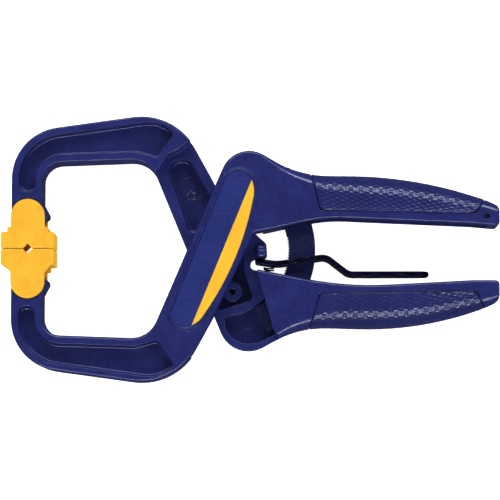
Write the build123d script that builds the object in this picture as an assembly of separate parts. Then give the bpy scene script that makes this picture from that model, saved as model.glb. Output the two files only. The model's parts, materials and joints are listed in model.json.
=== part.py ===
from build123d import *
from math import cos, sin, tan, radians
import os

# Ratcheting hand clamp, lying flat on its side. Millimetres, +Z up, +X towards the handles,
# +Y towards the fixed jaw. Everything is drawn about the main pivot, with the two halves of
# the hinge meeting at MID, and moved at the end so that the origin is the middle of the
# bottom of the bounding box.

# ---- overall ----
THICK = 26.0                 # pads and grips, side to side
MID = THICK / 2              # level of the split between the two arms
SKIN = 1.0                   # the arms stand this far inside the pads and grips
LOW, HIGH = SKIN, THICK - SKIN
SPLIT = 0.2                  # half of the gap between the two trays
FLOOR = 4.0                  # top of the tray floors
EDGE = 1.5                   # rounding along the outside edges of the arms
OPEN_ANGLE = 40.0            # full opening of the jaws
# ---- jaws ----
PAD_X, PAD_Y = -114.0, 19.6  # swivel axis of a pad
POST_OUT, POST_IN = -123.8, -105.5
TIP_R = 9.9
WEB_DEPTH = 8.0              # depth of the I-beam recess on each side of a jaw
# ---- pads ----
EAR_R, EAR_T = 10.0, 3.6
PAD_GAP = 0.4                # between the two closed faces
BLOCK_H, BLOCK_HALF = 9.8, 15.8
NECK_H, NECK_HALF = 2.9, 12.1
VEE = 2.8                    # depth of the V groove in a face
PIN_R, PIN_CLEAR = 2.5, 0.1
# ---- pivot ----
RIVET_R, BUSH_R, RUN = 4.0, 6.0, 0.08
HUB_R, HUB_FLOOR = 12.0, 5.5
BOSS_R, RING_X, RING_Y = 8.2, 7.4, -24.9
COIL_R, COIL_WIRE, COIL_TURNS = 9.75, 2.0, 4
# ---- ratchet arc ----
ARC_IN, ARC_OUT, ARC_T = 40.7, 57.0, 4.0
ARC_TAIL, ARC_ROOT = -60.0, 36.0
ARC_PIN_R, ARC_PIN_AT = 2.0, (24.0, 33.0)
TOOTH_STEP, TOOTH_DEPTH = 2.2, 0.7
# ---- lever ----
LEVER_T, LEVER_W = 3.2, 16.0
LEVER_HINGE = (22.6, -7.2)
SPRING_X, SPRING_R, SPRING_WIRE = 29.3, 2.9, 0.9
# ---- grips ----
GRIP_IN, GRIP_PROUD, GRIP_GAP = 2.2, 0.4, 0.35
# rounding of the two outer edges of a handle, which grows towards the palm: (x, radius)
CROWN = ((22, 1.2), (30, 2.6), (38, 4.0), (46, 5.3), (54, 6.6), (62, 8.2), (72, 10.0), (85, 10.8),
         (110, 10.8), (132, 10.0), (148, 8.0), (158, 6.0), (175, 4.0))


def outline(*corners):
    """Closed face from (x, y, corner radius) triples, each corner rounded by an arc."""
    points = [Vector(x, y) for x, y, _ in corners]
    edges, first, last = [], None, None
    for i, (corner, (_, _, radius)) in enumerate(zip(points, corners)):
        back = (points[i - 1] - corner).normalized()
        ahead = (points[(i + 1) % len(points)] - corner).normalized()
        half = radians(back.get_angle(ahead)) / 2
        reach = radius / tan(half) if radius else 0
        enter, leave = corner + back * reach, corner + ahead * reach
        if last is not None:
            edges.append(Line(last, enter))
        if radius:
            inward = (back + ahead).normalized() * (radius / sin(half) - radius)
            edges.append(ThreePointArc(enter, corner + inward, leave))
        first, last = first or enter, leave
    edges.append(Line(last, first))
    return make_face(edges)


def prism(face, low, high):
    return extrude(Pos(0, 0, low) * face, amount=high - low, dir=(0, 0, 1))


def disc(x, y, radius):
    return Pos(x, y) * Circle(radius)


def rod(x, y, radius, low, high):
    return Pos(x, y, (low + high) / 2) * Cylinder(radius, high - low)


def polar(radius, angle):
    return radius * cos(radians(angle)), radius * sin(radians(angle))


def sector(inner, outer, start, stop):
    """Part of a flat ring about the pivot, between two angles in degrees."""
    middle = (start + stop) / 2
    edges = [ThreePointArc(polar(outer, start), polar(outer, middle), polar(outer, stop)),
             Line(polar(outer, stop), polar(inner, stop)),
             ThreePointArc(polar(inner, stop), polar(inner, middle), polar(inner, start)),
             Line(polar(inner, start), polar(outer, start))]
    return make_face(edges)


def flipped(shape):
    """Half a turn about the clamp's long axis."""
    return Pos(0, 0, THICK) * Rot(180, 0, 0) * shape


def eased(body, level):
    """Rounds every loop of edges at one level, as far as each of them allows."""
    near = body.faces().filter_by(Axis.Z).filter_by_position(Axis.Z, level - 0.01, level + 0.01)
    spots = [face.center() for face in near]
    for spot in spots:
        face = body.faces().filter_by(Axis.Z).filter_by_position(
            Axis.Z, level - 0.01, level + 0.01).sort_by_distance(spot)[0]
        rim = face.outer_wire().edges()
        longest = rim.sort_by(SortBy.LENGTH)[-1:]
        for edges, radius in ((rim, EDGE), (rim, 1.2), (rim, 1.0), (longest, EDGE), (longest, 1.0)):
            try:
                body = fillet(edges, radius)
                break
            except ValueError:
                continue
    return body


def pocket(face, low, high, root=1.2, lip=0.6):
    """Cutter for a moulded pocket: rounded floor and a small bevel round its mouth."""
    body = prism(face, low, high + 1)
    body = fillet(body.faces().sort_by(Axis.Z)[0].edges(), root)
    flare = extrude(Pos(0, 0, high - lip) * face, amount=2 * lip, taper=-45, dir=(0, 0, 1))
    return body + flare


# ---- outlines, drawn for the arm whose tray opens upwards ----
JAW = [(POST_OUT, PAD_Y, 0), (POST_OUT, 68.9, 31), (-26.5, 82.3, 37), (-4.2, 41.6, 30)]
THROAT = [(-41.8, 53.4, 16), (POST_IN, 51.1, 11), (POST_IN, PAD_Y, 0)]

FIXED_HANDLE = [(9.9, 13.2, 3), (18.0, 12.6, 3), (27.8, 3.8, 3), (28.4, -5.3, 3),
                (18.2, -5.3, 3), (18.2, -11.6, 3), (76.0, -22.8, 200), (150.0, -18.9, 60),
                (166.1, -18.9, 2.5), (166.1, -31.8, 6), (119.2, -48.6, 195), (47.7, -46.3, 60), (7.9, -67.4, 17.8)]
MOVING_HANDLE = [(20.6, -9.2, 2), (63.0, -18.3, 90), (150.0, -14.4, 60), (166.4, -12.9, 2.5),
                 (166.4, -25.9, 6.5), (119.5, -44.2, 230), (47.5, -43.9, 65), (9.5, -65.7, 17)]

# where each arm has its full thickness: its jaw, and its handle
FIXED_JAW_AREA = outline((-8, 90, 0), (-17.8, 64.4, 2), (-24, 59.2, 4), (-30.6, 56.2, 4),
                         (-35.4, 48.6, 3), (-50, 36, 0), (-140, 0, 0), (-140, 90, 0))
FIXED_HANDLE_AREA = outline((22.6, 0, 0), (22.6, -13.2, 0), (32.4, -49.4, 5), (42, -56, 0),
                            (180, -60, 0), (180, 0, 0))
MOVING_HANDLE_AREA = outline((25.6, 0, 0), (25.6, -10.6, 0), (33.6, -49.4, 5), (44, -56, 0),
                             (180, -60, 0), (180, 0, 0))
MOVING_JAW_AREA = outline((-10, 90, 0), (-10, 30, 0), (-140, 0, 0), (-140, 90, 0)) \
    - Circle(66.5)

JAW_RECESS = outline((-119.5, 34.6, 4.5), (-119.5, 64.9, 26.5), (-37.5, 76.3, 20),
                     (-27.0, 69.2, 2.5), (-37.2, 54.6, 3), (-50.0, 58.4, 20),
                     (-109.6, 56.4, 15), (-109.6, 34.6, 4.5))
WEB_POCKET = outline((-33.4, 54.4, 7), (-18.6, 54.4, 6), (-3.4, 28.2, 3), (-5.2, 19.6, 3),
                     (-17.4, 9.6, 2.5))
RING_POCKET = outline((14.2, -1.2, 1), (14.4, -11.4, 3), (20.1, -30.0, 2.5), (-1.2, -36.4, 3),
                      (-9.2, -16.0, 3), (0, -1.0, 1))
TAIL_POCKET = (disc(16.5, -42.4, 13.6)
               + outline((16.5, -56.0, 0), (23.5, -55.2, 4), (33.0, -50.6, 0),
                         (36.0, -46.0, 0), (30.0, -24.0, 0), (16.5, -28.0, 0))) - Circle(39.6)


def jaw_tip():
    """Rounded end of a jaw, with the toe that stops the pad from turning too far."""
    toe = outline((POST_IN - 1, 29.5, 0), (-101.9, 20.9, 0.8), (-102.3, 18.8, 0.5),
                  (-108, 15.5, 0))
    return disc(PAD_X, PAD_Y, TIP_R) + toe


def crowned(face, low, high, shrink=0.0, start=0.0):
    """Envelope of a handle: its face drawn out to two levels, its outer edges rounded by CROWN."""
    sections, spots = [], []
    for x, radius in CROWN:
        if x < start:
            continue
        radius -= shrink
        cut = [v.Y for v in (face & Line((x, -90), (x, -23))).vertices()] if x < 160 else []
        if cut:
            y = min(cut) - 0.03
        else:
            y = spots[-1][1] + (x - spots[-1][0]) * 0.75
        spots.append((x, y))
        a, b, bend = low - 0.03, high + 0.03, radius * (1 - cos(radians(45)))
        sections.append(make_face([
            Line((x, 30, a), (x, y + radius, a)),
            ThreePointArc((x, y + radius, a), (x, y + bend, a + bend), (x, y, a + radius)),
            Line((x, y, a + radius), (x, y, b - radius)),
            ThreePointArc((x, y, b - radius), (x, y + bend, b - bend), (x, y + radius, b)),
            Line((x, y + radius, b), (x, 30, b)), Line((x, 30, b), (x, 30, a))]))
    return loft(sections)


def arm(handle, handle_area, jaw_area, cavity):
    """One arm with its tray open upwards: jaw, web, hub and handle channel."""
    shape = outline(*JAW, *handle, *THROAT)
    body = prism(shape, LOW, MID - SPLIT)
    body += prism(shape & (handle_area + jaw_area), MID - SPLIT, HIGH)
    for level in (LOW, HIGH):
        body = eased(body, level)
    body += prism(jaw_tip(), LOW + FLOOR - 1, HIGH - FLOOR + 1)
    palm = prism(outline((22, -90, 0), (175, -90, 0), (175, 29, 0), (22, 29, 0)), -1, THICK + 1)
    body -= palm - crowned(shape, LOW, HIGH)

    # I-beam recesses of the jaw, and the rebates that the ears of the pad sit in
    recess = pocket(JAW_RECESS, HIGH - WEB_DEPTH, HIGH)
    body -= recess
    body -= mirror(recess, Plane.XY.offset(MID))
    for low, high in ((LOW - 1, LOW + FLOOR - 1), (HIGH - FLOOR + 1, HIGH + 1)):
        body -= rod(PAD_X, PAD_Y, EAR_R + 0.6, low, high)
        body -= prism(outline((-130, PAD_Y + 2, 0), (-95, PAD_Y + 2, 0), (-95, 5, 0),
                              (-130, 5, 0)), low, high)
    body -= rod(PAD_X, PAD_Y, PIN_R, 0, THICK)

    # tray of the web: hub well, spring pocket with its ring boss, tail pocket
    top = MID - SPLIT
    body -= pocket(WEB_POCKET, FLOOR, top)
    body -= prism(Circle(HUB_R) - Circle(BOSS_R), HUB_FLOOR, top + 1)
    body -= rod(0, 0, BOSS_R + 1, top - 2.0, top + 1)
    body -= prism(RING_POCKET - Circle(HUB_R - 1), FLOOR, top + 1)
    body += rod(RING_X, RING_Y, 5.9, FLOOR - 0.5, top - 2.2)
    body -= rod(RING_X, RING_Y, 1.9, FLOOR, top)
    body -= prism(TAIL_POCKET, FLOOR, top + 1)

    # channel of the handle, open towards the other handle
    body -= prism(cavity - Circle(39.6), 5.0, THICK - 5.0)
    return body


def gripped(body, handle, grip_area):
    """Cuts the seat of a soft grip into a handle; returns the handle and its grip."""
    tail = outline(*JAW, *handle, *THROAT) & outline((40, 0, 0), (40, -80, 0), (180, -80, 0),
                                                    (180, 0, 0))
    inner, outer = offset(tail, -GRIP_IN), offset(tail, GRIP_PROUD)
    deep = GRIP_IN + 0.6
    core = prism(inner & grip_area, deep, THICK - deep)
    core &= crowned(inner, deep, THICK - deep, shrink=GRIP_IN, start=46)
    skin = prism(outer & offset(grip_area, -GRIP_GAP), 0, THICK)
    skin &= crowned(outer, 0, THICK, shrink=-GRIP_PROUD, start=46)
    return body - prism(grip_area, -1, THICK + 1) + core, skin - core


def coil(radius, wire, turns, start, low, high):
    """Round-wire helix about +Z through the origin, starting at an angle in degrees."""
    path = Helix(pitch=(high - low) / turns, height=high - low, radius=radius)
    profile = Plane(path.position_at(0), z_dir=path.tangent_at(0)) * Circle(wire / 2)
    return Pos(0, 0, low) * Rot(0, 0, start) * sweep(profile, path=path, is_frenet=True)


parts = {}

# ---- fixed arm: upper jaw, web and lower handle ----
FIXED_CAVITY = outline((36, -6, 0), (44, -40.4, 4), (118.3, -42.5, 190), (158.5, -27.5, 4),
                       (158.5, -6, 0))
MOVING_CAVITY = outline((31.3, -4, 0), (31.6, -26, 0), (40, -38.2, 4), (118.5, -38.3, 200),
                        (158.5, -21.6, 3), (158.5, -4, 0))
FIXED_GRIP_AREA = outline((51.0, -54, 0), (59.4, -26.4, 2.5), (152.6, -25.2, 3.5),
                          (158.6, -38, 0), (158.6, -60, 0), (51.0, -60, 0))
MOVING_GRIP_AREA = outline((52.4, -52, 0), (59.6, -22.4, 2.5), (115, -21.9, 300),
                           (152.8, -20.4, 4), (159.4, -32, 0), (159.4, -60, 0), (52.4, -60, 0))

fixed = arm(FIXED_HANDLE, FIXED_HANDLE_AREA, FIXED_JAW_AREA, FIXED_CAVITY)
fixed, parts["lower_grip"] = gripped(fixed, FIXED_HANDLE, FIXED_GRIP_AREA)
fixed -= prism(sector(39.6, 58.4, -66, -18), 8.6, THICK - 8.6)
fixed -= Pos(SPRING_X, -17, MID) * Rot(90, 0, 0) * Cylinder(3.9, 10)
button = rod(24.4, 0.2, 3.3, MID - 1, MID + 3.0)
fixed += fillet(button.faces().sort_by(Axis.Z)[-1].edges(), 2.4)
fixed -= rod(0, 0, RIVET_R, 0, THICK)
fixed -= rod(0, 0, BUSH_R, HUB_FLOOR, THICK)
fixed -= rod(0, 0, 9.0, 0, LOW + 1.4)
fixed += rod(16.6, -44.2, 2.5, FLOOR - 1, FLOOR + 0.3) + rod(-20.6, 46.4, 2.6, FLOOR - 1, FLOOR + 0.3)
# moulder's dial sunk in the pocket floor: twelve ticks round a ring and one hand, nothing written
dial = rod(-15.9, 33.6, 2.1, FLOOR - 0.35, FLOOR + 1) - rod(-15.9, 33.6, 1.6, FLOOR - 1, FLOOR + 2)
dial += Pos(-15.9, 33.6, FLOOR) * Rot(0, 0, 35) * Box(2.2, 0.6, 0.8)
for step in range(12):
    x, y = polar(3.9, 30 * step)
    dial += Pos(-15.9 + x, 33.6 + y, FLOOR) * Rot(0, 0, 30 * step) * Box(1.5, 0.7, 0.9)
fixed -= dial
parts["fixed_arm"] = fixed

# ---- moving arm: lower jaw, cheek and upper handle ----
moving = arm(MOVING_HANDLE, MOVING_HANDLE_AREA, MOVING_JAW_AREA, MOVING_CAVITY)
moving, upper_grip = gripped(moving, MOVING_HANDLE, MOVING_GRIP_AREA)
for angle in ARC_PIN_AT:
    x, y = polar(48.8, -angle)
    moving += rod(x, y, 4.3, 4.5, MID - ARC_T / 2) + rod(x, y, 4.3, MID + ARC_T / 2, THICK - 4.5)
    moving -= rod(x, y, ARC_PIN_R, 3.0, THICK)
moving -= rod(0, 0, RIVET_R + RUN, 0, THICK)
moving -= rod(0, 0, BUSH_R + RUN, HUB_FLOOR, THICK)
moving = flipped(moving)
parts["upper_grip"] = flipped(upper_grip)

# label seat on the cheek, with its raised rim, and the blind hole near the handle's end
LABEL = make_face([Line((-28.4, -37.0), (4.2, 42.7)),
                   ThreePointArc((4.2, 42.7), (12.2, 46.0), (19.1, 41.6)),
                   ThreePointArc((19.1, 41.6), (20.7, 35.6), (20.1, 29.2)),
                   ThreePointArc((20.1, 29.2), (10.9, -2.5), (-9.2, -39.7)),
                   ThreePointArc((-9.2, -39.7), (-12.7, -43.7), (-17.5, -46.3)),
                   ThreePointArc((-17.5, -46.3), (-25.6, -44.4), (-28.4, -37.0))])
RIM = offset(LABEL, 2.2)
rim = prism(RIM, HIGH - 1, HIGH + 0.7)
rim = chamfer(rim.faces().sort_by(Axis.Z)[-1].edges(), 0.6)
moving += rim
seat = prism(offset(LABEL, 0.15), HIGH - 0.6, THICK + 1)
moving -= seat + extrude(Pos(0, 0, HIGH + 0.3) * offset(LABEL, 0.15), amount=0.6, taper=-40,
                         dir=(0, 0, 1))
moving -= rod(158.7, 19.1, 2.15, HIGH - 2.6, THICK)
moving -= rod(0, 0, 8.6, 22.4, THICK)
parts["moving_arm"] = moving

# the crescent is all of the label on the far side of a slanting line
STRIPE_BODY = offset(LABEL, -0.2) & outline((-18.7, -51.4, 0), (21.5, 46.4, 0), (60, 46.4, 0),
                                            (60, -51.4, 0))
parts["label_plate"] = prism(LABEL, HIGH - 0.6, HIGH + 0.2) - prism(STRIPE_BODY, HIGH - 0.2, HIGH + 1)
parts["label_stripe"] = prism(STRIPE_BODY, HIGH - 0.2, HIGH + 0.25)

# ---- pivot: rivet, bushing, washers and the opening spring ----
rivet = rod(0, 0, RIVET_R, 0.6, HIGH - 1.0)
rivet += rod(0, 0, 6.5, 0.2, 1.6) + rod(0, 0, 6.5, 23.3, 24.2)
rivet = fillet(rivet.faces().sort_by(Axis.Z)[0].edges(), 0.8)
parts["pivot_rivet"] = rivet
parts["pivot_bushing"] = rod(0, 0, BUSH_R, HUB_FLOOR, THICK - HUB_FLOOR - 0.3) - rod(0, 0, RIVET_R, 0, THICK)
parts["back_washer"] = rod(0, 0, 8.5, 1.6, 2.4) - rod(0, 0, RIVET_R, 0, THICK)
parts["front_washer"] = rod(0, 0, 8.2, 22.5, 23.3) - rod(0, 0, RIVET_R, 0, THICK)

spring = coil(COIL_R, COIL_WIRE, COIL_TURNS - 22 / 360, 11, 7.6, THICK - 7.6)
for sign, level, end in ((-1, 7.6, (11.8, -6.5)), (1, THICK - 7.6, (14.7, 25.0))):
    root = Vector(*polar(COIL_R, -11 * sign), level)
    tip = Vector(*end, level)
    along = (tip - root).normalized()
    spring += Plane(root, z_dir=along) * Pos(0, 0, (tip - root).length / 2) * Cylinder(
        COIL_WIRE / 2, (tip - root).length)
    spring += Pos(*root) * Sphere(COIL_WIRE / 2)
parts["opening_spring"] = spring

# ---- ratchet arc and the two pins that hold it in the moving handle ----
arc = sector(ARC_IN, ARC_OUT, ARC_TAIL, ARC_ROOT)
tooth = outline((ARC_IN - 1, -0.9, 0), (ARC_IN - 1, 0.9, 0), (ARC_IN + TOOTH_DEPTH, 0.35, 0),
                (ARC_IN + TOOTH_DEPTH, -0.55, 0))
teeth = int((14 + 56) / TOOTH_STEP)
for count in range(teeth):
    arc -= Rot(0, 0, -56 + count * TOOTH_STEP) * tooth
bar = prism(arc, MID - ARC_T / 2, MID + ARC_T / 2)
for number, angle in enumerate(ARC_PIN_AT):
    x, y = polar(48.8, angle)
    bar -= rod(x, y, ARC_PIN_R, 0, THICK)
    parts["arc_pin_%d" % (number + 1)] = rod(x, y, ARC_PIN_R, LOW, THICK - 3.0)
parts["ratchet_arc"] = bar

# ---- release lever and its spring ----
strip = FilletPolyline(LEVER_HINGE, (34.0, -8.9), (63.2, -4.6), (76.7, -15.0), (123.0, -15.0),
                       radius=[25, 8, 8])
side = make_face(offset(strip, LEVER_T / 2, side=Side.BOTH).edges())
low, high = MID - LEVER_W / 2, MID + LEVER_W / 2
lever = prism(side, low, high)
plan = Rot(90, 0, 0) * extrude(outline((20, low, 0), (20, high, 0), (124.6, high, 6.5),
                                       (124.6, low, 6.5)), amount=30, both=True)
lever &= plan
lever -= Pos(48.5, -8, MID) * Box(19.2, 20, ARC_T + 1.2)
parts["release_lever"] = lever
lift = coil(SPRING_R, SPRING_WIRE, 5, 0, 0, 10.8)
parts["lever_spring"] = Pos(SPRING_X, -21.45, MID) * Rot(-90, 0, 0) * lift


# ---- swivel pads and their pins ----
def pad():
    """Upper pad, with its stepped neck towards +Z and its gusset towards -Z."""
    top, face = PAD_GAP / 2 + BLOCK_H, PAD_GAP / 2
    block = outline((PAD_X - BLOCK_HALF, face, 0.8), (PAD_X - VEE, face, 0), (PAD_X, face + VEE, 0),
                    (PAD_X + VEE, face, 0), (PAD_X + BLOCK_HALF, face, 0.8),
                    (PAD_X + BLOCK_HALF, top, 1.2), (PAD_X - BLOCK_HALF, top, 1.2))
    ear = disc(PAD_X, PAD_Y, EAR_R)
    stepped = ear + outline((PAD_X - EAR_R, top - 1, 0), (PAD_X + EAR_R, top - 1, 0),
                            (PAD_X + EAR_R, PAD_Y, 0), (PAD_X - EAR_R, PAD_Y, 0))
    stepped += outline((PAD_X - NECK_HALF, top - 1, 0), (PAD_X + NECK_HALF, top - 1, 0),
                       (PAD_X + NECK_HALF, top + NECK_H, 1.0),
                       (PAD_X - NECK_HALF, top + NECK_H, 1.0))
    gusset = ear + outline((PAD_X - BLOCK_HALF + 0.4, top - 2, 0), (PAD_X + BLOCK_HALF - 0.4, top - 2, 0),
                           (PAD_X + EAR_R, top + 4.4, 0.5), (PAD_X + EAR_R, PAD_Y, 0),
                           (PAD_X - EAR_R, PAD_Y, 0), (PAD_X - EAR_R, top + 4.4, 0.5))
    body = prism(block, 0, THICK)
    body += prism(gusset, 0, EAR_T) + prism(stepped, THICK - EAR_T, THICK)
    body -= rod(PAD_X, PAD_Y, TIP_R + 0.5, EAR_T, THICK - EAR_T)
    body -= rod(PAD_X, PAD_Y, PIN_R + PIN_CLEAR, 1.2, THICK - 1.2)
    return body


parts["upper_pad"] = pad()
parts["lower_pad"] = flipped(pad())
pin = rod(PAD_X, PAD_Y, PIN_R, 1.4, THICK - 1.4)
parts["upper_pad_pin"] = pin
parts["lower_pad_pin"] = flipped(pin)

# ---- move to the library frame and write ----
box = Compound(children=[Part() + shape for shape in parts.values()]).bounding_box()
shift = Vector(-(box.min.X + box.max.X) / 2, -(box.min.Y + box.max.Y) / 2, -box.min.Z)
print("pivot at", round(shift.X, 4), round(shift.Y, 4), "size", box.size, "low", box.min.Z)
os.makedirs("parts", exist_ok=True)
for name, shape in parts.items():
    export_step(Pos(shift) * shape, "parts/" + name + ".step")
    print(name, round(shape.volume, 1), len(shape.solids()))
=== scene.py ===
"""Looks of a ratcheting hand clamp.

Moulded navy arms, soft knurled grips, yellow swivel pads and a blackened lever. Everything is in metres, in
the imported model's own frame. Sizes that are easier to read in millimetres are kept in millimetres and turned
at the place where a mesh or a node takes them.
"""

import json
import logging
import math
from dataclasses import dataclass
from enum import Enum
from typing import Any

import bmesh
import bpy
import numpy as np
from mathutils import Matrix, Vector
from mathutils.bvhtree import BVHTree

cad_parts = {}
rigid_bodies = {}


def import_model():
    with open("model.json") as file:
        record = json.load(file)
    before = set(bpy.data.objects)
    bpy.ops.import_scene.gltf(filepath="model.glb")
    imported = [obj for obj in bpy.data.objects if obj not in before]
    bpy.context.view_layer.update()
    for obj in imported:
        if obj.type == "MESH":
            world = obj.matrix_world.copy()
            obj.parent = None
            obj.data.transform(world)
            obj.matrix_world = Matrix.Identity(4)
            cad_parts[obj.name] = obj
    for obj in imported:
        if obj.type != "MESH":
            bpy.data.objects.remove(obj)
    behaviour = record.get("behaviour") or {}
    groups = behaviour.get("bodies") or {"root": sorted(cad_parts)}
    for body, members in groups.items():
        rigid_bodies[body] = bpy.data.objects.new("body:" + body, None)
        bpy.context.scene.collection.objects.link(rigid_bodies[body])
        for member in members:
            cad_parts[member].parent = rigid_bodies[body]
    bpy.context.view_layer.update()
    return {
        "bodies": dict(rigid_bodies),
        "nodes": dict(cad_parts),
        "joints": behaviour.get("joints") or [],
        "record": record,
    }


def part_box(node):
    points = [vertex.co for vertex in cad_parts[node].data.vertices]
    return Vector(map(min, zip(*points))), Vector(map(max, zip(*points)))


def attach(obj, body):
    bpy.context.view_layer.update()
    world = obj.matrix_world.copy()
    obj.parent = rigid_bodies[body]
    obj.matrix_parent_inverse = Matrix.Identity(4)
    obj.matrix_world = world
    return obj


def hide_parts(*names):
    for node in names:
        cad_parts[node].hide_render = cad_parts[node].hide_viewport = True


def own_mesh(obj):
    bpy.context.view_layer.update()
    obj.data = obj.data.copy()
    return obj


MM = 0.001
WIRE_SIDES = 16
WELD = 2e-6  # metres within which two points of a node are one
FLAT_ANGLE = math.radians(0.6)  # triangles that turn less than this are one face
BEVEL_SAMPLES = 6
CORNER_COSINES = (0.985, 0.80)  # softened against true normal: where a corner starts, and where it is full
NOISE_RANGE = (0.36, 0.64)  # solid noise seldom leaves this range, so it is stretched from here
log = logging.getLogger("clamp")

Socket = bpy.types.NodeSocket
Tree = bpy.types.NodeTree


class Half(Enum):
    """Which handle a grip wraps, as a sign: the upper grip is drawn as a lower one and then turned over."""

    LOWER = 1
    UPPER = -1


class Process(Enum):
    """How a steel piece got its surface, which sets the direction of its fine marks."""

    SHEARED = (0.12, 1.0, 1.0)
    TURNED = (1.0, 1.0, 1.0)
    DRAWN = (1.0, 1.0, 0.25)


# ---------------------------------------------------------------- node helpers


def linear(colour: str) -> tuple[float, float, float, float]:
    """Turns an sRGB hex colour into linear light.

    Args:
        colour: six hex digits with a leading hash.

    Returns:
        Red, green, blue and an alpha of one.
    """
    parts = [int(colour[i : i + 2], 16) / 255 for i in (1, 3, 5)]
    r, g, b = (c / 12.92 if c <= 0.04045 else ((c + 0.055) / 1.055) ** 2.4 for c in parts)
    return r, g, b, 1.0


def add(tree: Tree, kind: str, links: dict[Any, Any] | None = None, **settings: Any) -> bpy.types.Node:
    """Adds a node with its settings and its inputs.

    Args:
        tree: the tree that gets the node.
        kind: the node's Blender type name.
        links: input name or number to the socket that feeds it, or to its value.
        settings: properties of the node, by name.

    Returns:
        The new node.
    """
    node = tree.nodes.new(kind)
    for name, value in settings.items():
        setattr(node, name, value)
    for key, value in (links or {}).items():
        if isinstance(value, Socket):
            tree.links.new(value, node.inputs[key])
        else:
            node.inputs[key].default_value = value
    return node


def maths(tree: Tree, operation: str, a: Any, b: Any = 0.0, clamp: bool = False) -> Socket:
    """One sum of two numbers or sockets.

    Args:
        tree: the tree that gets the node.
        operation: Blender's name for the sum.
        a: first number or socket.
        b: second number or socket.
        clamp: keep the result between nought and one.

    Returns:
        The socket that holds the result.
    """
    return add(tree, "ShaderNodeMath", {0: a, 1: b}, operation=operation, use_clamp=clamp).outputs[0]


def remap(tree: Tree, value: Socket, low: float, high: float, to_low: float, to_high: float) -> Socket:
    """A smooth step of one range of numbers onto another.

    Args:
        tree: the tree that gets the node.
        value: the number to remap.
        low: where the step starts.
        high: where the step ends.
        to_low: result at and before the start.
        to_high: result at and after the end.

    Returns:
        The socket that holds the result.
    """
    ends = {"Value": value, "From Min": low, "From Max": high, "To Min": to_low, "To Max": to_high}
    return add(tree, "ShaderNodeMapRange", ends, interpolation_type="SMOOTHSTEP").outputs[0]


def weighed(tree: Tree, first: Socket, second: Socket, share: float) -> Socket:
    """The weighed mean of two numbers.

    Args:
        tree: the tree that gets the nodes.
        first: one number.
        second: the other number.
        share: weight of the first; the second has the rest of one.

    Returns:
        The socket that holds the mean.
    """
    rest = maths(tree, "MULTIPLY", second, 1.0 - share)
    return maths(tree, "ADD", maths(tree, "MULTIPLY", first, share), rest)


def blend(tree: Tree, share: Any, first: Any, second: Any, how: str = "MIX") -> Socket:
    """Mixes two colours.

    Args:
        tree: the tree that gets the node.
        share: how much of the second shows, from nought to one.
        first: colour or socket.
        second: colour or socket.
        how: Blender's name for the way of mixing.

    Returns:
        The socket that holds the mixed colour.
    """
    colours = {"Factor": share, 6: first, 7: second}
    return add(tree, "ShaderNodeMix", colours, data_type="RGBA", blend_type=how).outputs[2]


def noise(tree: Tree, place: Socket, grain_mm: float, detail: float = 3.0, rough: float = 0.55) -> Socket:
    """Solid noise whose blotches are about one size.

    Args:
        tree: the tree that gets the node.
        place: the coordinates, in metres.
        grain_mm: size of a blotch in millimetres.
        detail: octaves of finer noise.
        rough: strength of those octaves.

    Returns:
        The socket that holds the noise, around a half.
    """
    sizes = {"Vector": place, "Scale": 1.0 / (grain_mm * MM), "Detail": detail, "Roughness": rough}
    return add(tree, "ShaderNodeTexNoise", sizes, noise_dimensions="3D").outputs["Fac"]


def rounded(tree: Tree, radius_mm: float) -> tuple[Socket, Socket]:
    """Softens a hard corner's shading and says where the corners are.

    Args:
        tree: the tree that gets the nodes.
        radius_mm: how far from a corner the softening reaches.

    Returns:
        The softened normal, and a number that is nought on flats and rises to one on a corner.
    """
    bevel = add(tree, "ShaderNodeBevel", {"Radius": radius_mm * MM}, samples=BEVEL_SAMPLES).outputs[0]
    flat = add(tree, "ShaderNodeNewGeometry").outputs["Normal"]
    same = add(tree, "ShaderNodeVectorMath", {0: bevel, 1: flat}, operation="DOT_PRODUCT").outputs["Value"]
    return bevel, remap(tree, same, *CORNER_COSINES, 0.0, 1.0)


def begin(name: str) -> tuple[bpy.types.Material, Tree, Socket]:
    """Starts an empty material.

    Args:
        name: the material's name.

    Returns:
        The material, its tree and the socket of its object coordinates.
    """
    material = bpy.data.materials.new(name)
    material.use_nodes = True
    tree = material.node_tree
    tree.nodes.clear()
    return material, tree, add(tree, "ShaderNodeTexCoord").outputs["Object"]


def dress(material: bpy.types.Material, *objects: bpy.types.Object) -> None:
    """Puts one material on every slot of some objects.

    Args:
        material: the finish.
        objects: pieces or carried-over nodes.
    """
    for obj in objects:
        if not obj.material_slots:
            obj.data.materials.append(material)
        for slot in obj.material_slots:
            slot.material = material


# ------------------------------------------------------------------- finishes


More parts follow.
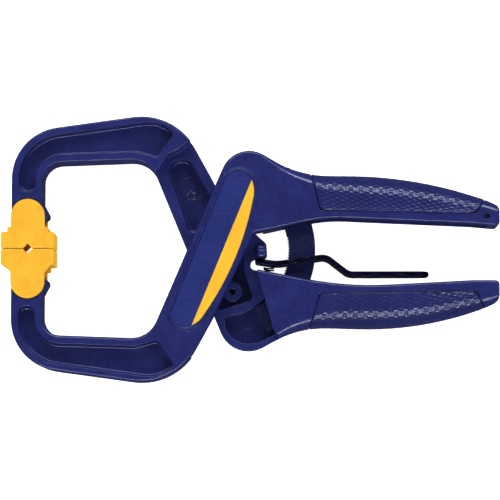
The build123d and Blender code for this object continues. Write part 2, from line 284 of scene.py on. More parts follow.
@dataclass(frozen=True)
class MouldedPlastic:
    """A dyed plastic from a steel mould: its skin copies the mould's grain, and its corners burnish paler."""

    name: str
    deep: str
    pale: str
    worn: str
    roughness: tuple[float, float]
    grain_mm: float = 0.9
    bump_mm: float = 0.02
    mottle_mm: float = 14.0
    wear: float = 0.35
    edge_mm: float = 0.55
    ior: float = 1.53
    specular: float = 0.5
    coat: float = 0.0
    coat_roughness: float = 0.18
    sheen: float = 0.0
    sheen_roughness: float = 0.45
    cloud_share: float = 0.6  # of the colour's light and dark, the rest being specks
    speck_grains: float = 3.3  # size of a speck, in grains
    speck_share: float = 0.7  # of the change in gloss, the rest being grain
    grain_light: float = 0.16
    patch_mm: float = 5.0
    polish: float = 0.10  # how much smoother a rubbed corner is
    bump_strength: float = 0.55

    def build(self) -> bpy.types.Material:
        """Makes the material.

        Returns:
            The finished material.
        """
        material, tree, place = begin(self.name)
        cloud = noise(tree, place, self.mottle_mm, 2.0)
        grain = noise(tree, place, self.grain_mm, 4.0, 0.6)
        speck = noise(tree, place, self.grain_mm * self.speck_grains, 3.0, 0.65)
        normal, corner = rounded(tree, self.edge_mm)

        # dye that did not spread quite evenly, then the fine grain's own light and dark
        tone = weighed(tree, cloud, speck, self.cloud_share)
        colour = blend(tree, remap(tree, tone, *NOISE_RANGE, 0.0, 1.0), linear(self.deep), linear(self.pale))
        fine = remap(tree, grain, 0.30, 0.70, 0.0, self.grain_light)
        colour = blend(tree, fine, colour, linear(self.pale), "SCREEN")

        # handling rubs the corners first, in patches
        patch = remap(tree, noise(tree, place, self.patch_mm, 4.0, 0.7), 0.46, 0.66, 0.15, 1.0)
        rub = maths(tree, "MULTIPLY", maths(tree, "MULTIPLY", corner, patch), self.wear, clamp=True)
        colour = blend(tree, rub, colour, linear(self.worn))

        gloss = remap(tree, weighed(tree, speck, grain, self.speck_share), *NOISE_RANGE, *self.roughness)
        gloss = maths(tree, "SUBTRACT", gloss, maths(tree, "MULTIPLY", rub, self.polish))
        skin = add(tree, "ShaderNodeBump", {
            "Height": grain, "Strength": self.bump_strength, "Distance": self.bump_mm * MM, "Normal": normal})
        shader = add(tree, "ShaderNodeBsdfPrincipled", {
            "Base Color": colour, "Roughness": gloss, "IOR": self.ior, "Normal": skin.outputs[0],
            "Specular IOR Level": self.specular, "Coat Weight": self.coat,
            "Coat Roughness": self.coat_roughness, "Sheen Weight": self.sheen,
            "Sheen Roughness": self.sheen_roughness})
        add(tree, "ShaderNodeOutputMaterial", {"Surface": shader.outputs[0]})
        return material


@dataclass(frozen=True)
class WorkedSteel:
    """Steel with the marks of its making and painted glints along them, a thin oxide, and brighter or browner
    corners where it wore off.
    """

    name: str
    process: Process
    body: str
    stain: str
    edge: str
    painted_glint: str
    roughness: tuple[float, float]
    mark_mm: float = 0.7
    bump_mm: float = 0.03
    edge_mm: float = 0.45
    rub: float = 0.9
    blotch_mm: float = 6.0
    patch_mm: float = 2.4
    bump_strength: float = 0.6

    def build(self) -> bpy.types.Material:
        """Makes the material.

        Returns:
            The finished material.
        """
        material, tree, place = begin(self.name)
        stretched = add(tree, "ShaderNodeMapping", {"Vector": place, "Scale": self.process.value}).outputs[0]
        marks = noise(tree, stretched, self.mark_mm, 5.0, 0.7)
        blotch = noise(tree, place, self.blotch_mm, 4.0, 0.65)
        normal, corner = rounded(tree, self.edge_mm)

        colour = blend(tree, remap(tree, blotch, 0.42, 0.66, 0.0, 1.0), linear(self.body), linear(self.stain))
        # painted glints: the tops of the tool marks take a paler colour, as if they caught the light
        colour = blend(tree, remap(tree, marks, 0.56, 0.74, 0.0, 0.75), colour, linear(self.painted_glint))
        patch = remap(tree, noise(tree, stretched, self.patch_mm, 4.0, 0.7), 0.40, 0.60, 0.25, 1.0)
        rub = maths(tree, "MULTIPLY", maths(tree, "MULTIPLY", corner, patch), self.rub, clamp=True)
        colour = blend(tree, rub, colour, linear(self.edge))

        gloss = remap(tree, marks, 0.35, 0.70, *self.roughness)
        skin = add(tree, "ShaderNodeBump", {
            "Height": marks, "Strength": self.bump_strength, "Distance": self.bump_mm * MM, "Normal": normal})
        shader = add(tree, "ShaderNodeBsdfPrincipled", {
            "Base Color": colour, "Roughness": gloss, "Metallic": 1.0, "Normal": skin.outputs[0]})
        add(tree, "ShaderNodeOutputMaterial", {"Surface": shader.outputs[0]})
        return material


# Glass-filled nylon, injection moulded in a spark-eroded tool: satin navy, its fine pits drawn at 0.9 mm
# because the real 0.15 mm grain is too fine to show.
ARM_NYLON = MouldedPlastic(
    "glass_filled_nylon_moulded", "#1B2158", "#222866", "#5058A0", (0.22, 0.27), bump_mm=0.008)
# Thermoplastic rubber moulded over the handles: a little darker, with a soft bloom at grazing angles.
GRIP_RUBBER = MouldedPlastic(
    "thermoplastic_rubber_overmould", "#181E52", "#1D235C", "#454C90", (0.22, 0.25),
    grain_mm=0.7, bump_mm=0.005, wear=0.15, edge_mm=0.35, ior=1.5, sheen=0.03)
# Acetal, moulded and self-oiling: an even, waxy yellow with hardly any grain.
PAD_ACETAL = MouldedPlastic(
    "acetal_moulded_yellow", "#F0AC1C", "#F8B822", "#FFD070", (0.38, 0.48),
    grain_mm=1.1, bump_mm=0.03, mottle_mm=9.0, wear=0.45, ior=1.48)
# Plain nylon, moulded thin and flat, duller than the arms; its colour is painted shade, a shade darker than
# theirs for the shadow of the arms it lies in.
BAR_NYLON = MouldedPlastic(
    "nylon_moulded_flat", "#0C1036", "#10153F", "#3A4078", (0.34, 0.44), mottle_mm=9.0, specular=0.2)
# Polyester film with an even satin coat, laid in the mould: slightly brighter than the nylon round it.
LABEL_FILM = MouldedPlastic(
    "polyester_film_navy", "#1E2866", "#232D70", "#454C90", (0.26, 0.28),
    grain_mm=0.6, bump_mm=0.008, mottle_mm=22.0, wear=0.1, edge_mm=0.15, ior=1.5, coat=0.12)
# The same film where yellow ink was screened on it: flat, full cover, with the faintest ink grain.
LABEL_INK = MouldedPlastic(
    "polyester_film_yellow_ink", "#F4B420", "#FBBD26", "#FFD070", (0.36, 0.42),
    grain_mm=0.6, bump_mm=0.008, mottle_mm=20.0, wear=0.1, edge_mm=0.1, ior=1.5, coat=0.1)
# Spring strip, sheared and oil-blacked: near black with a violet cast, painted violet glints along its shear
# marks, its edges burnished to straw.
LEVER_STEEL = WorkedSteel(
    "spring_strip_oil_blacked", Process.SHEARED, "#1B1B38", "#12121F", "#B08A52", "#6E6A94", (0.26, 0.50))
# Turned steel with a thin clear zinc: pale and fairly smooth, slightly blotched, with painted glints along its
# turning marks.
PIN_STEEL = WorkedSteel(
    "turned_steel_clear_zinc", Process.TURNED, "#B9BBBF", "#9A9CA2", "#E2E3E6", "#D4D6DA", (0.24, 0.40),
    bump_mm=0.015)
# Drawn spring wire, tempered brown: dark, with a reddish oxide and paler painted glints along its draw marks.
WIRE_STEEL = WorkedSteel(
    "drawn_spring_wire_tempered", Process.DRAWN, "#4A3A34", "#2B2426", "#A8917E", "#8C7464", (0.28, 0.46),
    mark_mm=0.5)


# ------------------------------------------------------------- geometry nodes


def new_tree(name: str, inputs: dict[str, str]) -> tuple[Tree, bpy.types.Node]:
    """Starts a geometry tree with a mesh in, a mesh out and named inputs.

    Args:
        name: the tree's name.
        inputs: input name to its kind, such as Float or Material.

    Returns:
        The tree and its input node.
    """
    tree = bpy.data.node_groups.new(name, "GeometryNodeTree")
    tree.interface.new_socket(name="Mesh", in_out="INPUT", socket_type="NodeSocketGeometry")
    for label, kind in inputs.items():
        tree.interface.new_socket(name=label, in_out="INPUT", socket_type="NodeSocket" + kind)
    tree.interface.new_socket(name="Mesh", in_out="OUTPUT", socket_type="NodeSocketGeometry")
    return tree, add(tree, "NodeGroupInput")


def end_tree(tree: Tree, mesh: Socket, material: Socket) -> None:
    """Ends a tree: instances made real, and the material set.

    Args:
        tree: the tree.
        mesh: what it made.
        material: the input that holds the material.
    """
    real = add(tree, "GeometryNodeRealizeInstances", {"Geometry": mesh}).outputs[0]
    dressed = add(tree, "GeometryNodeSetMaterial", {"Geometry": real, "Material": material}).outputs[0]
    add(tree, "NodeGroupOutput", {0: dressed})


def knurl_tree() -> Tree:
    """Builds the tree that raises diamond pips on a skin, from its along, around, field and drop attributes.

    Returns:
        The tree.
    """
    tree, sizes = new_tree("diamond_knurl", {
        "Diamond Length": "Float", "Diamond Width": "Float", "Pip Height": "Float", "Pip Fullness": "Float",
        "Seat Depth": "Float", "Finish": "Material"})
    along, around, mask, drop = (
        add(tree, "GeometryNodeInputNamedAttribute", {"Name": name}, data_type="FLOAT").outputs[0]
        for name in ("along", "around", "field", "drop"))
    across = maths(tree, "DIVIDE", around, sizes.outputs["Diamond Width"])
    down = maths(tree, "DIVIDE", along, sizes.outputs["Diamond Length"])
    grooves = [maths(tree, "PINGPONG", maths(tree, way, down, across), 0.5) for way in ("ADD", "SUBTRACT")]
    inside = maths(tree, "MULTIPLY", maths(tree, "MINIMUM", *grooves), 2.0)
    # a pip is a cushion: it falls away ever faster towards the groove round it
    fall = maths(tree, "POWER", maths(tree, "SUBTRACT", 1.0, inside), sizes.outputs["Pip Fullness"])
    pip = maths(tree, "MULTIPLY", maths(tree, "SUBTRACT", 1.0, fall), mask)
    rise = maths(tree, "MULTIPLY", pip, sizes.outputs["Pip Height"])
    rise = maths(tree, "SUBTRACT", maths(tree, "SUBTRACT", rise, sizes.outputs["Seat Depth"]), drop)
    normal = add(tree, "GeometryNodeInputNormal").outputs[0]
    offset = add(tree, "ShaderNodeVectorMath", {0: normal, "Scale": rise}, operation="SCALE").outputs[0]
    moved = add(tree, "GeometryNodeSetPosition", {"Geometry": sizes.outputs[0], "Offset": offset}).outputs[0]
    smooth = add(tree, "GeometryNodeSetShadeSmooth", {0: moved}).outputs[0]
    end_tree(tree, smooth, sizes.outputs["Finish"])
    return tree


def wire_tree() -> Tree:
    """Builds the tree that draws round wire along a chain of edges and closes its ends.

    Returns:
        The tree.
    """
    tree, sizes = new_tree("drawn_wire", {"Wire Diameter": "Float", "Sides": "Int", "Finish": "Material"})
    path = add(tree, "GeometryNodeMeshToCurve", {0: sizes.outputs[0]}).outputs[0]
    radius = maths(tree, "MULTIPLY", sizes.outputs["Wire Diameter"], 0.5)
    circle = {"Resolution": sizes.outputs["Sides"], "Radius": radius}
    ring = add(tree, "GeometryNodeCurvePrimitiveCircle", circle).outputs[0]
    sweep = {"Curve": path, "Profile Curve": ring, "Fill Caps": True}
    tube = add(tree, "GeometryNodeCurveToMesh", sweep).outputs[0]
    smooth = add(tree, "GeometryNodeSetShadeSmooth", {0: tube}).outputs[0]
    end_tree(tree, smooth, sizes.outputs["Finish"])
    return tree


def grown(obj: bpy.types.Object, tree: Tree, inputs: dict[str, Any], name: str) -> bpy.types.Object:
    """Runs a geometry tree, and any modifiers after it, and keeps the result as a plain mesh.

    Args:
        obj: the object that the tree starts from, which is then removed.
        tree: the tree.
        inputs: values for the tree's named inputs.
        name: name of the new piece.

    Returns:
        The new piece, with no modifiers.
    """
    modifier = obj.modifiers.new("grow", "NODES")
    modifier.node_group = tree
    obj.modifiers.move(len(obj.modifiers) - 1, 0)
    for item in tree.interface.items_tree:
        if item.item_type == "SOCKET" and item.in_out == "INPUT" and item.name in inputs:
            modifier[item.identifier] = inputs[item.name]
    obj.update_tag()
    graph = bpy.context.evaluated_depsgraph_get()
    mesh = bpy.data.meshes.new_from_object(
        obj.evaluated_get(graph), preserve_all_data_layers=True, depsgraph=graph)
    bpy.data.objects.remove(obj)
    piece = bpy.data.objects.new(name, mesh)
    mesh.name = name
    bpy.context.scene.collection.objects.link(piece)
    return piece


def mesh_object(name: str, points: Any, edges: Any, faces: Any) -> bpy.types.Object:
    """Makes an object from points in metres.

    Args:
        name: the object's name.
        points: the points.
        edges: pairs of point numbers.
        faces: loops of point numbers.

    Returns:
        The object, linked to the scene.
    """
    mesh = bpy.data.meshes.new(name)
    mesh.from_pydata([tuple(p) for p in points], edges, faces)
    mesh.update()
    obj = bpy.data.objects.new(name, mesh)
    bpy.context.scene.collection.objects.link(obj)
    return obj


def copied(node: bpy.types.Object, name: str) -> bpy.types.Object:
    """Copies a carried-over node, welded and with its flat faces made whole, ready for a bevel.

    Args:
        node: the node, which is left alone.
        name: name of the copy.

    Returns:
        The copy.
    """
    shape = bmesh.new()
    shape.from_mesh(node.data)
    bmesh.ops.remove_doubles(shape, verts=shape.verts, dist=WELD)
    bmesh.ops.dissolve_limit(shape, angle_limit=FLAT_ANGLE, verts=shape.verts, edges=shape.edges)
    mesh = bpy.data.meshes.new(name)
    shape.to_mesh(mesh)
    shape.free()
    obj = bpy.data.objects.new(name, mesh)
    bpy.context.scene.collection.objects.link(obj)
    return obj


# --------------------------------------------------------------- sub-assemblies


@dataclass
class Arms:
    """The two moulded arms, kept as the frame has them."""

    nodes: tuple[str, ...] = ("fixed_arm", "moving_arm")

    def make(self, frame: dict[str, Any]) -> None:
        """Dresses both arms.

        Args:
            frame: the loaded frame.
        """
        finish = ARM_NYLON.build()
        for name in self.nodes:
            dress(finish, frame["nodes"][name])
            log.info("%s dressed in %s", name, finish.name)


@dataclass
class Grip:
    """A soft grip: a skin over the outer side of one handle, crowned, with raised diamond pips all over.

    The skin is drawn for a lower handle, about the pivot, in millimetres, and turned over for the upper one.
    """

    half: Half
    body: str
    node: str
    pivot: Vector
    near: tuple[tuple[float, float], tuple[float, float]]  # border towards the pivot: outer end, inner end
    far: tuple[tuple[float, float], tuple[float, float]]  # border at the handle's end: inner end, outer end
    corners: tuple[float, float]  # rounding of the two inner corners
    crown: tuple[tuple[float, float], ...] = (  # (x, radius) of the rounded outer side
        (46, 7.0), (54, 8.4), (62, 10.0), (72, 11.6), (85, 12.2),
        (110, 12.2), (132, 11.4), (148, 9.4), (158, 7.2))
    thick: float = 26.0
    diamond: tuple[float, float] = (6.4, 2.6)
    phase: float = 9.0  # shift of the diamonds along the grip
    pip: float = 0.22
    fullness: float = 2.4  # power that makes a pip a cushion
    seat: float = 0.42  # how far the skin lies under the plain grip
    margin: float = 1.3  # over which the pips fade out towards a border
    bare: float = 0.6  # margins without any pip, next to a border
    lip: float = 0.9
    curl: float = 0.8  # depth of the rounded lip against its width
    wall: float = 1.5
    step: tuple[float, float] = (0.62, 0.30)  # grid, along and around
    face: float = 12.0  # rough width of the flat face
    arc: float = 15.5  # rough length of the rounding
    crowding: float = 1.35  # power that crowds the columns towards the inner border
    rounds: int = 30  # in which a column settles between its slanting ends
    rays: tuple[float, float, float] = (53.5, 157.0, 1.0)  # from x, to x, and their pitch
    outside: float = 90.0  # y that is well clear of the handle
    middle: float = 100.0  # x about which lines are fitted
    degrees: tuple[int, int] = (6, 5)  # of the fit to the outer side, and to the crown

    def outer_side(self, frame: dict[str, Any]) -> np.ndarray:
        """Measures the outer side of the frame's grip and fits a smooth line to it.

        Args:
            frame: the loaded frame.

        Returns:
            The line's polynomial, y for a given x, in millimetres about the pivot.
        """
        mesh = frame["nodes"][self.node].data
        tree = BVHTree.FromPolygons([v.co for v in mesh.vertices], [p.vertices[:] for p in mesh.polygons])
        xs, ys = [], []
        side = float(self.half.value)
        for x in np.arange(*self.rays):
            start = Vector(((x * MM) + self.pivot.x, -self.outside * MM * side, self.thick * MM / 2))
            hit = tree.ray_cast(start, Vector((0, side, 0)))[0]
            if hit is not None:
                xs.append(x)
                ys.append(hit.y * side / MM)
        return np.polyfit(np.array(xs) - self.middle, ys, self.degrees[0])

    def sheet(self, side: np.ndarray) -> tuple[np.ndarray, dict[str, np.ndarray]]:
        """Lays out the grid of the skin.

        Args:
            side: the outer side's polynomial.

        Returns:
            Points in millimetres, as rows along by columns around, and the knurl's attributes on that grid.
        """
        (near_x, near_y), (near_in_x, near_in_y) = self.near
        (far_in_x, far_in_y), (far_x, far_y) = self.far
        xs, radii = np.array(self.crown).T
        bend = np.polyfit(xs - self.middle, radii, self.degrees[1])
        rows = int((far_in_x - near_in_x) / self.step[0])
        u = np.linspace(0.0, 1.0, rows + 1)

        def inner(x: np.ndarray) -> np.ndarray:
            """y of the border along the inner side."""
            return near_in_y + (x - near_in_x) * (far_in_y - near_in_y) / (far_in_x - near_in_x)

        def ends(y: np.ndarray, x: np.ndarray) -> tuple[np.ndarray, np.ndarray]:
            """x of both slanting borders at some y, with the inner corners rounded."""
            gap = np.clip(inner(x) - y, 0.0, None)
            start = near_x + (y - near_y) * (near_in_x - near_x) / (near_in_y - near_y)
            stop = far_in_x + (y - far_in_y) * (far_x - far_in_x) / (far_y - far_in_y)
            for sign, (line, radius) in ((1, (start, self.corners[0])), (-1, (stop, self.corners[1]))):
                cut = np.clip(radius - gap, 0.0, radius)
                line += sign * (radius - np.sqrt(np.clip(radius**2 - cut**2, 0.0, None)))
            return start, stop

        def settle(height: Any) -> tuple[np.ndarray, np.ndarray]:
            """x and y of one column, whose y is a function of x."""
            x = near_in_x + u * (far_in_x - near_in_x)
            for _ in range(self.rounds):
                y = height(x)
                start, stop = ends(y, x)
                x = start + u * (stop - start)
            return x, height(x)

        steps_flat = int(self.face / self.step[1])
        steps_arc = int(self.arc / self.step[1])
        columns = []
        # from the inner border over the flat, crowded towards the border's rounded corners
        for share in (np.arange(steps_flat) / steps_flat) ** self.crowding:
            def on_flat(x: np.ndarray, share: float = share) -> np.ndarray:
                """y of a column on the flat face."""
                top = inner(x)
                low = np.polyval(side, x - self.middle) + np.polyval(bend, x - self.middle)
                return top + share * (low - top)
            x, y = settle(on_flat)
            columns.append((x, y, np.zeros_like(x)))
        for angle in np.linspace(0.0, math.pi / 2, steps_arc):
            def on_arc(x: np.ndarray, angle: float = angle) -> np.ndarray:
                """y of a column on the rounding."""
                rise = np.polyval(bend, x - self.middle) * (1 - math.sin(angle))
                return np.polyval(side, x - self.middle) + rise
            x, y = settle(on_arc)
            columns.append((x, y, np.polyval(bend, x - self.middle) * (1 - math.cos(angle))))
        front = [(x, y, self.thick - drop) for x, y, drop in columns]
        x, y, z = front[-1]
        spare = max(2, int(float(np.mean(2 * z - self.thick)) / self.step[1]))
        middle = [(x, y, z + (self.thick - 2 * z) * k / spare) for k in range(1, spare)]
        back = [(x, y, self.thick - z) for x, y, z in reversed(front)]
        grid = np.stack([np.stack(c, axis=-1) for c in front + middle + back], axis=1)

        # arc lengths, from the middle of the outer side, and distances from the borders
        around = np.concatenate([np.zeros((rows + 1, 1)),
                                 np.cumsum(np.linalg.norm(np.diff(grid, axis=1), axis=2), axis=1)], axis=1)
        total = around[:, -1:]
        to_border = np.minimum(around, total - around)
        around = around - total / 2
        along = np.concatenate([np.zeros((1, grid.shape[1])),
                                np.cumsum(np.linalg.norm(np.diff(grid, axis=0), axis=2), axis=0)], axis=0)
        to_end = np.minimum(along, along[-1:] - along)
        spine = along[:, grid.shape[1] // 2 : grid.shape[1] // 2 + 1]
        edge = np.minimum(to_border, to_end)
        mask = np.clip((edge - self.bare * self.margin) / self.margin, 0.0, 1.0)
        mask = mask * mask * (3 - 2 * mask)
        near_lip = np.clip(1.0 - edge / self.lip, 0.0, 1.0)
        # the lip rolls in, and the bare margin lies level with the tops of the pips
        roll = self.lip * self.curl * (1 - np.sqrt(np.clip(1 - near_lip**2, 0.0, 1.0)))
        drop = roll - self.pip * (1 - mask)
        return grid, {"along": np.broadcast_to(spine + self.phase, around.shape) * MM, "around": around * MM,
                      "field": mask, "drop": drop * MM}

    def make(self, frame: dict[str, Any]) -> None:
        """Builds the grip in place of the frame's plain one.

        Args:
            frame: the loaded frame.
        """
        grid, attributes = self.sheet(self.outer_side(frame))
        rows, columns = grid.shape[:2]
        points = grid.reshape(-1, 3) * MM
        if self.half is Half.UPPER:
            points = points * (1, -1, -1) + (0, 0, self.thick * MM)
        points = points + (self.pivot.x, self.pivot.y, 0)
        number = np.arange(rows * columns).reshape(rows, columns)
        quads = np.stack([number[:-1, :-1], number[:-1, 1:], number[1:, 1:], number[1:, :-1]], axis=-1)
        skin = mesh_object(self.node + "_skin", points, [], quads.reshape(-1, 4).tolist())
        for name, values in attributes.items():
            layer = skin.data.attributes.new(name, "FLOAT", "POINT")
            layer.data.foreach_set("value", values.astype(np.float32).ravel())
        solid = skin.modifiers.new("wall", "SOLIDIFY")
        solid.thickness, solid.offset, solid.use_rim = self.wall * MM, -1.0, True
        finish = GRIP_RUBBER.build() if self.half is Half.LOWER else bpy.data.materials[GRIP_RUBBER.name]
        piece = grown(skin, knurl_tree(), {
            "Diamond Length": self.diamond[0] * MM, "Diamond Width": self.diamond[1] * MM,
            "Pip Height": self.pip * MM, "Pip Fullness": self.fullness, "Seat Depth": self.seat * MM,
            "Finish": finish}, self.node + "_knurled")
        self.keep_inside(piece)
        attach(piece, self.body)
        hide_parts(self.node)
        log.info("%s: %d faces", piece.name, len(piece.data.polygons))

    def keep_inside(self, piece: bpy.types.Object) -> None:
        """Trims stray points back to the box of the frame's grip.

        Args:
            piece: the new grip.
        """
        low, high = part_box(self.node)
        count = len(piece.data.vertices)
        points = np.empty(count * 3)
        piece.data.vertices.foreach_get("co", points)
        points = np.clip(points.reshape(-1, 3), np.array(low), np.array(high))
        piece.data.vertices.foreach_set("co", points.ravel())
        piece.data.update()


@dataclass
class Label:
    """The film on the cheek and the yellow crescent on it, with no lettering."""

    plate: str = "label_plate"
    stripe: str = "label_stripe"

    def make(self, frame: dict[str, Any]) -> None:
        """Dresses the film and its crescent.

        Args:
            frame: the loaded frame.
        """
        dress(LABEL_FILM.build(), frame["nodes"][self.plate])
        dress(LABEL_INK.build(), frame["nodes"][self.stripe])
        log.info("label film and crescent dressed")


@dataclass
class Pivot:
    """The rivet, its bushing and washers, the pins, and the spring that opens the jaws."""

    pivot: Vector
    radius: float = 9.75
    wire: float = 2.0
    turns: float = 4 - 22 / 360  # four turns, less the angle between the ends of the coil
    start: float = 11.0  # degrees
    low: float = 7.6
    high: float = 18.4
    legs: tuple[tuple[float, float], ...] = ((11.8, -6.5), (14.7, 25.0))  # ends of the low and the high leg
    steps: int = 40  # per turn
    leg_steps: int = 6
    metal: tuple[str, ...] = (
        "pivot_rivet", "pivot_bushing", "back_washer", "front_washer", "arc_pin_1", "arc_pin_2",
        "upper_pad_pin", "lower_pad_pin")

    def spring_path(self) -> list[tuple[float, float, float]]:
        """Follows the wire from one leg's end, up the coil, to the other leg's end.

        Returns:
            Points in millimetres about the pivot.
        """
        across = self.radius * math.cos(math.radians(self.start))
        rise = self.radius * math.sin(math.radians(self.start))
        (low_x, low_y), (high_x, high_y) = self.legs
        shares = [1 - k / self.leg_steps for k in range(self.leg_steps)]
        path = [(across + (low_x - across) * t, rise + (low_y - rise) * t, self.low) for t in shares]
        count = round(self.turns * self.steps)
        for k in range(count + 1):
            angle = math.radians(self.start) + self.turns * 2 * math.pi * k / count
            path.append((self.radius * math.cos(angle), self.radius * math.sin(angle),
                         self.low + (self.high - self.low) * k / count))
        for t in reversed(shares):
            path.append((across + (high_x - across) * t, (high_y + rise) * t - rise, self.high))
        return path

    def make(self, frame: dict[str, Any], tree: Tree, wire_finish: bpy.types.Material) -> None:
        """Draws the opening spring and dresses the turned pieces.

        Args:
            frame: the loaded frame.
            tree: the wire's geometry tree.
            wire_finish: the wire's material.
        """
        spring = drawn("opening_spring_wire", self.spring_path(), self.pivot, self.wire, tree, wire_finish)
        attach(spring, "fixed_arm")
        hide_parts("opening_spring")
        dress(PIN_STEEL.build(), *(frame["nodes"][name] for name in self.metal))
        log.info("%s drawn, %d turned pieces dressed", spring.name, len(self.metal))


def drawn(name: str, path: list[tuple[float, float, float]], origin: Vector, wire: float, tree: Tree,
          finish: bpy.types.Material) -> bpy.types.Object:
    """Draws wire along a path.

    Args:
        name: the piece's name.
        path: points in millimetres about the origin.
        origin: the path's origin, in metres; its height is left alone.
        wire: the wire's diameter in millimetres.
        tree: the wire's geometry tree.
        finish: its material.

    Returns:
        The piece.
    """
    points = [(x * MM + origin.x, y * MM + origin.y, z * MM) for x, y, z in path]
    chain = mesh_object(name + "_path", points, [(k, k + 1) for k in range(len(points) - 1)], [])
    return grown(chain, tree, {"Wire Diameter": wire * MM, "Sides": WIRE_SIDES, "Finish": finish}, name)


@dataclass
class Ratchet:
    """The toothed arc, the release lever and the small spring under it."""

    pivot: Vector
    coil: float = 2.9
    wire: float = 0.9
    turns: float = 6.5
    steps: int = 28  # per turn
    crowding: float = 0.075  # share of the length by which the end turns are closed up
    centre: tuple[float, float] = (29.3, 13.0)
    ends: tuple[float, float] = (-21.45, -10.65)
    bevel: float = 0.35
    corner: float = 35.0  # degrees past which an edge is tumbled round
    squeeze: float = 0.957

    def lever_edges(self, frame: dict[str, Any]) -> bpy.types.Object:
        """Gives the lever strip the small burr-free corners that tumbling leaves.

        Args:
            frame: the loaded frame.

        Returns:
            The piece.
        """
        piece = copied(frame["nodes"]["release_lever"], "release_lever_strip")
        soften = piece.modifiers.new("tumbled", "BEVEL")
        soften.width, soften.segments, soften.limit_method = self.bevel * MM, 2, "ANGLE"
        soften.angle_limit = math.radians(self.corner)
        graph = bpy.context.evaluated_depsgraph_get()
        mesh = bpy.data.meshes.new_from_object(piece.evaluated_get(graph), depsgraph=graph)
        piece.modifiers.clear()
        piece.data = mesh
        mesh.materials.clear()
        dress(LEVER_STEEL.build(), piece)
        return piece

    def spring_path(self) -> list[tuple[float, float, float]]:
        """Follows the small spring, whose end turns lie close together.

        Returns:
            Points in millimetres about the pivot.
        """
        x, z = self.centre
        low, high = self.ends
        count = round(self.turns * self.steps)
        path = []
        for k in range(count + 1):
            share = k / count
            lift = share - self.crowding * math.sin(2 * math.pi * share)
            angle = 2 * math.pi * self.turns * share
            y = low + (high - low) * lift
            path.append((x + self.coil * math.cos(angle), y, z - self.coil * math.sin(angle)))
        return path

    def make(self, frame: dict[str, Any], tree: Tree, wire_finish: bpy.types.Material) -> None:
        """Builds the lever and its spring and dresses the arc.

        Args:
            frame: the loaded frame.
            tree: the wire's geometry tree.
            wire_finish: the wire's material.
        """
        lever = self.lever_edges(frame)
        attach(lever, "release_lever")
        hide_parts("release_lever")
        spring = drawn("lever_spring_wire", self.spring_path(), self.pivot, self.wire, tree, wire_finish)
        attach(spring, "fixed_arm")
        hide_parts("lever_spring")
        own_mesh(spring)
        dress(BAR_NYLON.build(), frame["nodes"]["ratchet_arc"])
        log.info("%s, %s made and the arc dressed", lever.name, spring.name)


@dataclass
class Pads:
    """The two yellow swivel pads, kept as the frame has them."""

    nodes: tuple[str, ...] = ("upper_pad", "lower_pad")

    def make(self, frame: dict[str, Any]) -> None:
        """Dresses both pads.

        Args:
            frame: the loaded frame.
        """
        dress(PAD_ACETAL.build(), *(frame["nodes"][name] for name in self.nodes))
        log.info("pads dressed")


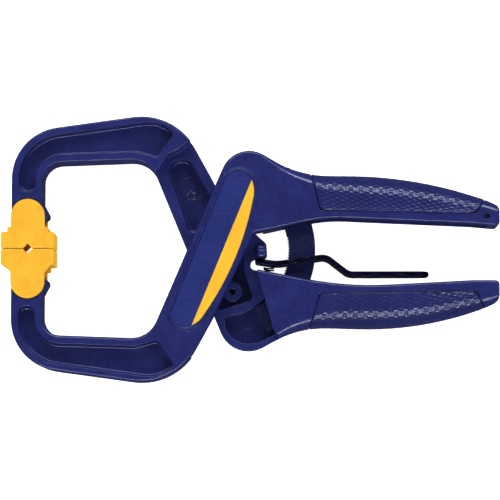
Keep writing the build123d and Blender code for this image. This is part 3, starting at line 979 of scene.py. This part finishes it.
@dataclass
class Studio:
    """A glowing white table, a soft box on each side, two narrow strips, a faint sky and the camera above."""

    eye: tuple[float, float, float] = (0.0237, -0.1338, 1.583)
    target: tuple[float, float, float] = (-0.0003, 0.0, 0.013)
    lens: float = 189.8
    sensor: float = 36.0
    clip: tuple[float, float] = (0.05, 20.0)
    floor_size: float = 8.0
    sky: float = 0.03
    glow: float = 0.95
    tint: tuple[float, float, float] = (0.80, 0.84, 1.0)  # of the strips
    # name, place, width and height, watts, and whether it is a strip that only gloss shows
    lamps: tuple[tuple[str, tuple[float, float, float], tuple[float, float], float, bool], ...] = (
        ("strip_far", (0.05, 1.02, 1.35), (1.8, 0.08), 21.0, True),
        ("strip_near", (0.05, -0.98, 1.38), (1.8, 0.08), 21.0, True),
        ("box_far", (0.0, 1.25, 1.0), (1.6, 0.7), 19.0, False),
        ("box_near", (0.0, -1.25, 1.0), (1.6, 0.7), 11.0, False),
        ("box_left", (-1.25, 0.0, 1.0), (0.7, 1.6), 8.0, False),
        ("box_right", (1.25, 0.0, 1.0), (0.7, 1.6), 15.0, False))

    def camera(self) -> None:
        """Places the camera, with the frame's +Y upwards in the picture."""
        data = bpy.data.cameras.new("camera")
        data.lens, data.sensor_width, data.sensor_fit = self.lens, self.sensor, "HORIZONTAL"
        data.clip_start, data.clip_end = self.clip
        obj = bpy.data.objects.new("camera", data)
        bpy.context.scene.collection.objects.link(obj)
        back = (Vector(self.eye) - Vector(self.target)).normalized()
        right = Vector((0, 1, 0)).cross(back).normalized()
        up = back.cross(right)
        obj.matrix_world = Matrix.Translation(self.eye) @ Matrix((right, up, back)).transposed().to_4x4()
        bpy.context.scene.camera = obj

    def softbox(self, name: str, place: tuple[float, float, float], size: tuple[float, float], power: float,
                mirrored: bool) -> None:
        """Hangs a rectangular soft box that faces the clamp.

        Args:
            name: its name.
            place: its middle, in metres.
            size: width and height, in metres.
            power: in watts.
            mirrored: true for a tinted strip that only gloss shows, false for a box that lights diffusely.
        """
        data = bpy.data.lights.new(name, "AREA")
        data.shape, data.size, data.size_y, data.energy = "RECTANGLE", size[0], size[1], power
        data.color = self.tint if mirrored else (1.0, 1.0, 1.0)
        obj = bpy.data.objects.new(name, data)
        aim = (-Vector(place)).to_track_quat("-Z", "Y").to_matrix().to_4x4()
        obj.matrix_world = Matrix.Translation(place) @ aim
        obj.visible_glossy, obj.visible_diffuse = mirrored, not mirrored
        obj.visible_camera = False
        bpy.context.scene.collection.objects.link(obj)

    def make(self) -> None:
        """Builds the floor, the lights and the camera."""
        self.camera()
        half = self.floor_size / 2
        corners = [(-half, -half, 0), (half, -half, 0), (half, half, 0), (-half, half, 0)]
        floor = mesh_object("floor", corners, [], [(0, 1, 2, 3)])
        material, tree, spot = begin("paper_sweep_white")
        tooth = noise(tree, spot, 2.0)
        paper = blend(tree, remap(tree, tooth, 0.3, 0.7, 0.0, 1.0), linear("#FBFBFB"), linear("#FFFFFF"))
        shader = add(tree, "ShaderNodeBsdfPrincipled", {
            "Base Color": paper, "Roughness": 0.9, "Specular IOR Level": 0.1,
            "Emission Color": (1.0, 1.0, 1.0, 1.0), "Emission Strength": self.glow})
        add(tree, "ShaderNodeOutputMaterial", {"Surface": shader.outputs[0]})
        dress(material, floor)
        floor.visible_glossy = False
        # the strips draw the bright ridge along each handle, and the boxes fill from lower down
        for name, place, size, power, mirrored in self.lamps:
            self.softbox(name, place, size, power, mirrored)
        world = bpy.data.worlds.new("sky")
        world.use_nodes = True
        world.node_tree.nodes["Background"].inputs[0].default_value = (1, 1, 1, 1)
        world.node_tree.nodes["Background"].inputs[1].default_value = self.sky
        bpy.context.scene.world = world
        bpy.context.scene.view_settings.view_transform = "Standard"
        log.info("studio built")


def main() -> None:
    """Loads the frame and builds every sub-assembly in order."""
    logging.basicConfig(level=logging.INFO, format="%(name)s: %(message)s")
    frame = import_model()
    pivot = Vector(next(j for j in frame["joints"] if j["name"] == "main_pivot")["pos_m"])
    Studio().make()
    Arms().make(frame)
    Grip(Half.LOWER, "fixed_arm", "lower_grip", pivot, near=((51.35, -54.0), (59.75, -26.75)),
         far=((152.3, -25.55), (158.2, -38.0)), corners=(2.5, 3.5)).make(frame)
    Grip(Half.UPPER, "moving_arm", "upper_grip", pivot, near=((52.75, -52.0), (59.95, -22.75)),
         far=((152.5, -20.75), (159.0, -32.0)), corners=(2.5, 4.0)).make(frame)
    Label().make(frame)
    wire, wire_finish = wire_tree(), WIRE_STEEL.build()
    Pivot(pivot).make(frame, wire, wire_finish)
    Ratchet(pivot).make(frame, wire, wire_finish)
    Pads().make(frame)


if __name__ == "__main__":
    main()
